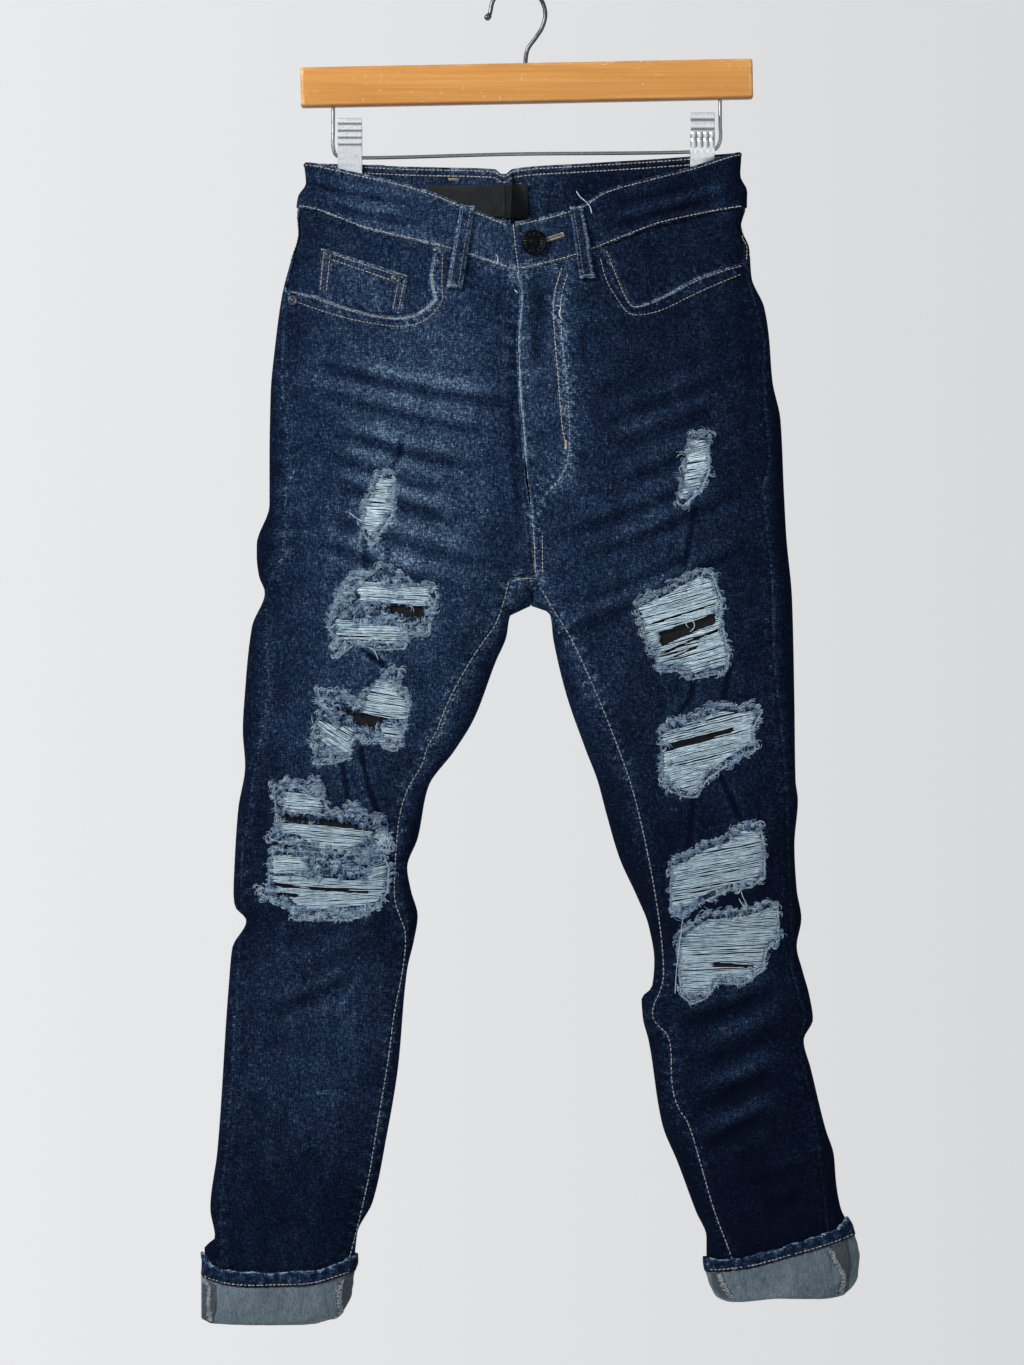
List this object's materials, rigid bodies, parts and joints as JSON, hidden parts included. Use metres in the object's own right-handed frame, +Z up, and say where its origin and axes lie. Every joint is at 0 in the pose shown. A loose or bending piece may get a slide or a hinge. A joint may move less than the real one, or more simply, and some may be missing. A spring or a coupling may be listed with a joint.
{
  "type": "ripped jeans",
  "caption": "Ripped slim jeans with patched tears and turned-up cuffs, hung by the back of the waist from a wooden clip hanger",
  "frame": {"origin": "inside top of the hanger's hook, where it bears on its nail or rail", "axes": "+Z up, -Y the wearer's front, +X the wearer's left (the viewer's right from the front)"},
  "size_m": [0.5668, 0.0558, 1.1546],
  "materials": {
    "denim": "mid-blue washed denim, matte",
    "denim_dark": "less worn denim, matte",
    "denim_worn": "rubbed denim, matte",
    "denim_wrong_side": "pale wrong side of the denim",
    "bare_threads": "undyed cotton threads",
    "black_cloth": "plain black cloth, matte",
    "button_metal": "black metal, slight gloss",
    "rivet_metal": "dull gunmetal",
    "wood": "honey varnish, worn",
    "chrome": "bright plate",
    "dark_chrome": "dark plate"
  },
  "bodies": {
    "root": {"front_panel_right": "denim", "front_panel_left": "denim", "yoke_right": "denim", "yoke_left": "denim", "back_panel_right": "denim_dark", "back_panel_left": "denim_dark", "waistband_front_right": "denim_worn", "waistband_front_left": "denim_worn", "waistband_back": "denim_worn", "label": "black_cloth", "belt_loop_front_right": "denim_worn", "belt_loop_front_left": "denim_worn", "belt_loop_back_right": "denim_worn", "belt_loop_back_centre": "denim_worn", "belt_loop_back_left": "denim_worn", "pocket_facing_right": "denim_dark", "pocket_facing_left": "denim_dark", "coin_pocket": "denim", "back_pocket_right": "denim", "back_pocket_left": "denim", "rip_threads_thigh_right": "bare_threads", "rip_threads_upper_right": "bare_threads", "rip_threads_knee_right": "bare_threads", "rip_threads_shin_upper_right": "bare_threads", "rip_threads_shin_lower_right": "bare_threads", "rip_threads_thigh_left": "bare_threads", "rip_threads_upper_left": "bare_threads", "rip_threads_knee_left": "bare_threads", "rip_threads_shin_upper_left": "bare_threads", "rip_threads_shin_lower_left": "bare_threads", "rip_backing_right": "black_cloth", "rip_backing_left": "black_cloth", "cuff_right": "denim_wrong_side", "cuff_hem_right": "denim_dark", "cuff_left": "denim_wrong_side", "cuff_hem_left": "denim_dark", "button": "button_metal", "rivet_coin_outer": "rivet_metal", "rivet_coin_inner": "rivet_metal", "rivet_pocket_right": "rivet_metal", "hanger_hook": "dark_chrome", "hanger_wire": "chrome", "hanger_bar": "wood", "clip_front_right": "chrome", "clip_back_right": "chrome", "clip_front_left": "chrome", "clip_back_left": "chrome"}
  },
  "joints": []
}
